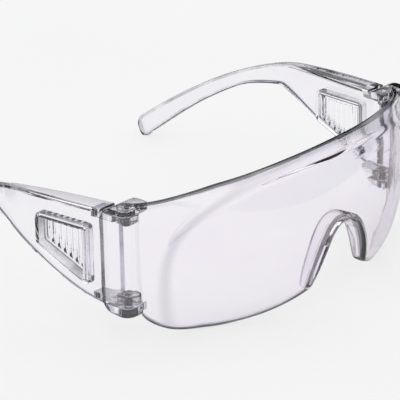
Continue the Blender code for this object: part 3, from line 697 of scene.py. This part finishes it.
# ---------------------------------------------------------------- pins
def pin_profile(end, under, crown):
    """Rows of radius, z from the shank's upper end down to the head's lower face."""
    rows = [(PIN_RADIUS - 0.4, end), (PIN_RADIUS - 0.12, end - 0.2), (PIN_RADIUS, end - 0.5)]
    for k in range(7):                      # fine grooves rolled into the shank
        z = end - 0.9 - 0.42 * k
        rows += [(PIN_RADIUS, z), (PIN_RADIUS - 0.07, z - 0.12),
                 (PIN_RADIUS - 0.07, z - 0.2), (PIN_RADIUS, z - 0.32)]
    flat = PIN_HEAD_RADIUS - 0.12
    rows += [(PIN_RADIUS, under + 0.25), (PIN_RADIUS + 0.12, under + 0.06),
             (PIN_RADIUS + 0.3, under), (flat, under)]
    for k in range(1, 6):
        angle = 0.5 * math.pi * k / 5
        rows.append((flat + 0.12 * math.sin(angle), under - 0.12 * (1 - math.cos(angle))))
    for k in range(1, 8):
        angle = 0.5 * math.pi * k / 7
        rows.append((PIN_HEAD_RADIUS - 0.42 * (1 - math.cos(angle)),
                     crown + 0.42 * (1 - math.sin(angle))))
    return rows


def pin_piece(side, label, level):
    """A headed pin, head downwards, with a driver slot across the head."""
    if level == "upper":
        face = POST_TOP - LUG - GAP - KNUCKLE_HEIGHT
        end = POST_TOP - LUG_ROOF - GAP
    else:
        face = POST_BOTTOM
        end = POST_BOTTOM + LUG + GAP + KNUCKLE_HEIGHT - 0.6
    under = face - GAP
    crown = under - PIN_HEAD
    x = AXIS_X * side
    rings = [lifted(circle(x, AXIS_Y, radius, 56), 2, z)
             for radius, z in pin_profile(end, under, crown)]
    made = build(ring_loft(rings), name=f"hinge_pin_{level}_{label}_fine")
    front, rear = AXIS_Y - 0.3, AXIS_Y + 0.3
    slot = [(x - 4, front), (x + 4, front), (x + 4, rear), (x - 4, rear)]
    cut(made, prism(slot, 2, crown - 1.0, crown + 0.45))
    return made


# ---------------------------------------------------------------- node helpers
class Graph:
    """Adds nodes to one tree. A socket given as a value is linked, anything else is set."""

    def __init__(self, tree):
        self.nodes = tree.nodes
        self.links = tree.links

    def fill(self, node, inputs):
        for key, value in inputs.items():
            if isinstance(value, bpy.types.NodeSocket):
                self.links.new(value, node.inputs[key])
            else:
                node.inputs[key].default_value = value

    def add(self, kind, inputs, **settings):
        made = self.nodes.new(kind)
        for key, value in settings.items():
            setattr(made, key, value)
        self.fill(made, inputs)
        return made

    def coords(self, output="Object"):
        return self.add("ShaderNodeTexCoord", {}).outputs[output]

    def shifted(self, coords, shift):
        return self.add("ShaderNodeVectorMath", {0: coords, 1: shift},
                        operation="ADD").outputs["Vector"]

    def noise(self, where, scale, detail=4.0, rough=0.55, stretch=None, rotation=(0.0, 0.0, 0.0)):
        if stretch:
            where = self.add("ShaderNodeMapping", {"Scale": stretch, "Rotation": rotation,
                                                   "Vector": where}).outputs["Vector"]
        return self.add("ShaderNodeTexNoise", {"Scale": scale, "Detail": detail,
                                               "Roughness": rough, "Vector": where}).outputs["Fac"]

    def ramp(self, value, stops):
        """stops: position, colour."""
        made = self.add("ShaderNodeValToRGB", {"Fac": value})
        elements = made.color_ramp.elements
        for element, (position, colour) in zip(list(elements), (stops[0], stops[-1])):
            element.position = position
            element.color = (*colour, 1)
        for position, colour in stops[1:-1]:
            elements.new(position).color = (*colour, 1)
        return made.outputs["Color"]

    def remap(self, value, low, high, from_low=0.0, from_high=1.0, interpolation="LINEAR"):
        inputs = {"From Min": from_low, "From Max": from_high, "To Min": low, "To Max": high,
                  "Value": value}
        made = self.add("ShaderNodeMapRange", inputs, interpolation_type=interpolation)
        return made.outputs["Result"]

    def maths(self, operation, *values):
        return self.add("ShaderNodeMath", dict(enumerate(values)),
                        operation=operation).outputs["Value"]

    def mix(self, factor, first, second, blend="MIX"):
        # sockets 6 and 7 are the colour pair A and B
        return self.add("ShaderNodeMix", {0: factor, 6: first, 7: second},
                        data_type="RGBA", blend_type=blend).outputs[2]

    def bump(self, height, strength, distance):
        return self.add("ShaderNodeBump", {"Strength": strength, "Distance": distance,
                                           "Height": height}).outputs["Normal"]


def new_material(name):
    made = bpy.data.materials.new(name)
    made.use_nodes = True
    graph = Graph(made.node_tree)
    return made, graph, graph.nodes["Principled BSDF"]


# ---------------------------------------------------------------- clear polycarbonate
PLASTIC_IOR, COAT_IOR = 1.585, 1.40
COAT_THICKNESS = (85.0, 105.0)          # nanometres
COAT_END_X = (0.058, 0.063)             # metres: the coat fades out before the hinge posts
# painted shade: the grey of the line along the optical zone's bend
BEND_SHADE = (0.80, 0.795, 0.82, 1)
BODY_ABSORB, BODY_DENSITY = (0.62, 0.60, 0.72, 1), 12.0
HAIR_DEPTH = 0.16
HAIRLINES = (                           # turn in radians, stretch
    (0.35, (40.0, 3.0, 3.0)),
    (1.3, (3.0, 44.0, 4.0)),
    (2.4, (5.0, 5.0, 46.0)))
# Painted shade by how far a face turns away: faces seen skimming get a darker colour, standing in for
# the dark refraction along the plastic's bends and edges
LENS_GRAZING_SHADE = [
    (0.0, (1, 1, 1)), (0.36, (0.99, 0.99, 0.995)), (0.46, (0.94, 0.935, 0.955)),
    (0.57, (0.85, 0.845, 0.875)), (0.72, (0.76, 0.75, 0.79)), (0.84, (0.64, 0.63, 0.67)),
    (0.94, (0.38, 0.375, 0.41)), (0.98, (0.16, 0.16, 0.18)), (1.0, (0.08, 0.08, 0.09))]
ARM_GRAZING_SHADE = [
    (0.0, (1, 1, 1)), (0.58, (0.99, 0.99, 0.995)), (0.80, (0.83, 0.82, 0.855)),
    (0.93, (0.52, 0.515, 0.55)), (1.0, (0.34, 0.34, 0.37))]
LENS_TINT, ARM_TINT = (0.975, 0.955, 0.985), (0.968, 0.967, 0.976)


def optic_bend_shade_mask(graph, coords):
    """0 to 1 along the moulded bend that bounds the optical zone: the mask of a painted shade line
    there.
    """
    split = graph.add("ShaderNodeSeparateXYZ", {0: coords})
    across, depth, above = (
        graph.maths("SUBTRACT", split.outputs[axis], float(OFFSET[i]) * MM)
        for i, axis in enumerate("XYZ"))
    turn = graph.maths("ARCTAN2", graph.maths("ABSOLUTE", across),
                       graph.maths("MULTIPLY", depth, -1.0))
    across = graph.maths("DIVIDE", turn, math.radians(OPTIC_SPAN))
    above = graph.remap(above, low=0.0, high=1.0, from_low=OPTIC_LOW_Z * MM,
                        from_high=(OPTIC_LOW_Z + OPTIC_RISE) * MM)
    powers = [graph.maths("POWER", share, OPTIC_CORNER) for share in (across, above)]
    total = graph.maths("ADD", *powers)
    inside = graph.maths("SUBTRACT", 1.0, graph.maths("POWER", total, 1 / OPTIC_CORNER))
    middle = 0.5 * OPTIC_SOFT_FRONT / OPTIC_RISE
    off = graph.maths("ABSOLUTE", graph.maths("SUBTRACT", inside, middle))
    return graph.remap(off, low=0.0, high=1.0, from_low=1.35 / OPTIC_RISE,
                       from_high=0.1 / OPTIC_RISE, interpolation="SMOOTHSTEP")


def hairlines(graph, where):
    """Hairline scratches that run every way."""
    hair = None
    for turn, stretch in HAIRLINES:
        lines = graph.noise(where, scale=22.0, detail=2.0, rough=0.5, stretch=stretch,
                            rotation=(turn, turn * 0.7, turn * 1.9))
        fine = graph.remap(lines, low=0.0, high=1.0, from_low=0.69, from_high=0.73)
        hair = fine if hair is None else graph.maths("MAXIMUM", hair, fine)
    return hair


def polycarbonate(name, tint, seed, grazing_shade, coated=False):
    """Clear moulded plastic: faint body colour, haze, scratches, painted shade on faces that turn away
    and, if coated, a hard coat and a painted shade line along the optic bend.
    """
    made, graph, shader = new_material(name)
    coords = graph.coords()
    where = graph.shifted(coords, (seed * 0.137, seed * 0.071, seed * 0.219))
    flow = graph.noise(where, scale=26.0, detail=3.0, rough=0.5, stretch=(1.0, 1.0, 2.2))
    cloud = graph.noise(where, scale=75.0, detail=4.0, rough=0.6)

    flow_tint = tuple(min(1.0, c * k) for c, k in zip(tint, (0.985, 0.965, 1.0)))
    flow_share = graph.remap(flow, low=0, high=1, from_low=0.35, from_high=0.65)
    body = graph.mix(flow_share, (*tint, 1), (*flow_tint, 1))
    # painted shade: the body colour darkens as faces turn away from the view
    turned = graph.add("ShaderNodeLayerWeight", {"Blend": 0.5}).outputs["Facing"]
    body = graph.mix(1.0, body, graph.ramp(turned, grazing_shade), "MULTIPLY")
    # painted shade: a grey line along the optical zone's bend
    if coated:
        body = graph.mix(optic_bend_shade_mask(graph, coords), body, BEND_SHADE, "MULTIPLY")

    hair = hairlines(graph, where)
    haze = graph.remap(cloud, low=0.012, high=0.05, from_low=0.35, from_high=0.75)
    rough = graph.maths("ADD", haze, graph.maths("MULTIPLY", hair, HAIR_DEPTH))
    ripple = graph.noise(where, scale=58.0, detail=2.0, rough=0.4)
    height = graph.maths("ADD", graph.maths("MULTIPLY", ripple, 1.4),
                         graph.maths("MULTIPLY", hair, -HAIR_DEPTH))
    graph.fill(shader, {
        "Base Color": body,
        "Roughness": rough,
        "Normal": graph.bump(height, strength=0.18, distance=0.00012),
        "Transmission Weight": 1.0,
        "IOR": PLASTIC_IOR})
    if coated:
        split = graph.add("ShaderNodeSeparateXYZ", {0: coords})
        away = graph.maths("ABSOLUTE", split.outputs["X"])
        lens = graph.remap(away, 1.0, 0.0, *COAT_END_X)
        thick = graph.maths("ADD", graph.remap(flow, *COAT_THICKNESS, from_low=0.3, from_high=0.7),
                            graph.remap(cloud, low=0.0, high=12.0))
        graph.fill(shader, {"Thin Film Thickness": graph.maths("MULTIPLY", thick, lens),
                            "Thin Film IOR": COAT_IOR})
    absorb = graph.add("ShaderNodeVolumeAbsorption",
                       {"Color": BODY_ABSORB, "Density": BODY_DENSITY})
    graph.fill(graph.nodes["Material Output"], {"Volume": absorb.outputs["Volume"]})
    return made


# ---------------------------------------------------------------- edges with painted shade
# painted shade for the edge faces: deep and pale base colours
LENS_EDGE_SHADE = ((0.02, 0.02, 0.025), (0.10, 0.10, 0.115))      # deep, pale
ARM_EDGE_SHADE = ((0.02, 0.02, 0.025), (0.20, 0.20, 0.225))
SOFT_EDGE_SHADE = ((0.36, 0.36, 0.39), (0.90, 0.895, 0.93))
EDGE_SHADE_SPREAD = (0.35, 0.62)                                  # noise values of deep and pale


def edge_shade_plastic(name, colours, seed):
    """Edges of the same clear plastic with painted shade: a grey to black base colour in place of the
    dark refraction seen along edges.
    """
    made, graph, shader = new_material(name)
    where = graph.shifted(graph.coords(), (seed * 0.31, seed * 0.17, seed * 0.05))
    patch = graph.noise(where, scale=95.0, detail=3.0, rough=0.6)
    fine = graph.noise(where, scale=520.0, detail=3.0, rough=0.6)
    mixed = graph.maths("ADD", graph.maths("MULTIPLY", patch, 0.8),
                        graph.maths("MULTIPLY", fine, 0.2))
    deep, pale = colours
    middle = tuple(0.5 * (a + b) for a, b in zip(deep, pale))
    stops = [(EDGE_SHADE_SPREAD[0], deep), (0.5 * sum(EDGE_SHADE_SPREAD), middle), (EDGE_SHADE_SPREAD[1], pale)]
    graph.fill(shader, {
        "Base Color": graph.ramp(mixed, stops),
        "Roughness": graph.remap(fine, low=0.05, high=0.16),
        "Normal": graph.bump(fine, strength=0.25, distance=0.00008),
        "Transmission Weight": 1.0,
        "IOR": PLASTIC_IOR})
    return made


def plastic_set(clear, label, seed, edge_shade_colours):
    """Materials in the order of the face slots: the clear wall, then its dark and its soft painted
    edge shade.
    """
    return [clear, edge_shade_plastic(f"edge_{label}", edge_shade_colours, seed),
            edge_shade_plastic(f"soft_edge_{label}", SOFT_EDGE_SHADE, seed + 3)]


# ---------------------------------------------------------------- plated steel
STEEL_STOPS = [(0.3, (0.030, 0.030, 0.036)), (0.55, (0.085, 0.085, 0.095)),
               (0.8, (0.22, 0.22, 0.24))]


def plated_steel(name, seed):
    made, graph, shader = new_material(name)
    coords = graph.coords()
    turned = graph.noise(coords, scale=900.0, detail=3.0, rough=0.6, stretch=(0.15, 0.15, 6.0))
    spots = graph.noise(coords, scale=260.0 + 13 * seed, detail=5.0, rough=0.7)
    graph.fill(shader, {
        "Base Color": graph.ramp(spots, STEEL_STOPS),
        "Roughness": graph.remap(turned, low=0.22, high=0.48),
        "Metallic": 1.0,
        "Normal": graph.bump(turned, strength=0.35, distance=0.00004)})
    return made


# ---------------------------------------------------------------- put the pieces together
def finish_piece(obj, materials, body, cad_node):
    """Bakes the placement, keeps the mesh inside the CAD box and sets shading and materials."""
    mesh = obj.data
    mesh.transform(obj.matrix_world)
    obj.matrix_world = Matrix.Identity(4)
    places = np.empty(len(mesh.vertices) * 3, np.float32)
    mesh.vertices.foreach_get("co", places)
    low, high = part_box(cad_node)
    places = np.clip(places.reshape(-1, 3), np.array(low, np.float32), np.array(high, np.float32))
    mesh.vertices.foreach_set("co", places.ravel())
    mesh.update()
    bm = bmesh.new()
    bm.from_mesh(mesh)
    bmesh.ops.dissolve_degenerate(bm, dist=1e-6, edges=bm.edges)
    bm.to_mesh(mesh)
    bm.free()
    mesh.shade_smooth()
    mesh.set_sharp_from_angle(angle=math.radians(34))
    if len(materials) == len(holders):
        for index, material in enumerate(materials):
            mesh.materials[index] = material
    else:
        mesh.materials.clear()
        mesh.materials.append(materials[0])
    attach(obj, body)
    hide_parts(cad_node)


SIDES = ((-1, "right"), (1, "left"))
clear_front = polycarbonate("clear_shield", LENS_TINT, seed=1, grazing_shade=LENS_GRAZING_SHADE, coated=True)
clear_arms = [polycarbonate(f"clear_temple_{label}", ARM_TINT, seed=seed, grazing_shade=ARM_GRAZING_SHADE)
              for seed, label in ((2, "right"), (3, "left"))]

finish_piece(front_piece(), plastic_set(clear_front, "shield", 1, LENS_EDGE_SHADE),
             "front", "front_shield")
for (side, label), clear, seed in zip(SIDES, clear_arms, (2, 5)):
    finish_piece(temple_piece(side, label), plastic_set(clear, f"temple_{label}", seed, ARM_EDGE_SHADE),
                 f"{label}_arm", f"{label}_temple")
for index, (side, label) in enumerate(SIDES):
    for level, step in (("upper", 1), ("lower", 0)):
        pin = f"{level}_{label}"
        steel = plated_steel(f"pin_steel_{pin}", index * 2 + step)
        finish_piece(pin_piece(side, label, level), [steel], "front", f"hinge_pin_{pin}")

# ---------------------------------------------------------------- floor
bpy.ops.mesh.primitive_plane_add(size=6.0, location=(0, 0, 0))
floor = bpy.context.object
floor.name = "studio_floor"
floor_material, graph, shader = new_material("studio_floor")
grain = graph.noise(graph.coords(), scale=9.0, detail=3.0)
graph.fill(shader, {
    "Base Color": graph.ramp(grain, [(0.3, (0.175, 0.175, 0.177)), (0.7, (0.185, 0.185, 0.186))]),
    "Emission Color": (1.0, 1.0, 1.0, 1),       # a lit table top keeps the ground even
    "Emission Strength": 0.73,
    "Roughness": 0.9,
    "Specular IOR Level": 0.0})
floor.data.materials.append(floor_material)

# ---------------------------------------------------------------- bright dome, dark at the horizon
DOME_STOPS = [(0.0, (0.01, 0.01, 0.012)), (0.30, (0.015, 0.015, 0.018)),
              (0.42, (1.0, 1.0, 1.0)), (1.0, (1.0, 1.0, 1.0))]
scene = bpy.context.scene
world = bpy.data.worlds.new("studio")
scene.world = world
world.use_nodes = True
graph = Graph(world.node_tree)
split = graph.add("ShaderNodeSeparateXYZ", {0: graph.coords("Generated")})
graph.fill(graph.nodes["Background"], {"Color": graph.ramp(split.outputs["Z"], DOME_STOPS),
                                       "Strength": 1.2})

# ---------------------------------------------------------------- camera, a three-quarter view
# It looks back and down from the wearer's front right.
AZIMUTH, ELEVATION, ROLL = math.radians(-47.57), math.radians(23.95), math.radians(-0.54)
PITCH = math.radians(0.9)               # how much less than the spectacles the view is tipped
# Millimetres from the camera to the worn origin: to its right, up and ahead
TO_RIGHT, TO_UP, DISTANCE = 18.779487, 2.5230769, 1008.205128
right = np.array((math.cos(AZIMUTH), math.sin(AZIMUTH), 0.0))
ahead = np.array((-math.sin(AZIMUTH) * math.cos(ELEVATION),
                  math.cos(AZIMUTH) * math.cos(ELEVATION), -math.sin(ELEVATION)))
up = np.cross(right, ahead)
right, up = (right * math.cos(ROLL) + up * math.sin(ROLL),
             -right * math.sin(ROLL) + up * math.cos(ROLL))
eye = -(right * TO_RIGHT + up * TO_UP + ahead * DISTANCE)
tip_turn = Matrix.Rotation(-(TIP - PITCH), 3, "X")
data = bpy.data.cameras.new("camera")
data.sensor_width = 36.0
data.lens = 243.0
data.clip_start, data.clip_end = 0.05, 20.0
camera = bpy.data.objects.new("camera", data)
scene.collection.objects.link(camera)
basis = tip_turn @ Matrix((right, up, -ahead)).transposed()
place = (tip_turn @ Vector(eye)) * MM + Vector(OFFSET * MM)
camera.matrix_world = Matrix.Translation(place) @ basis.to_4x4()
scene.camera = camera

scene.view_settings.view_transform = "Standard"
scene.view_settings.look = "None"
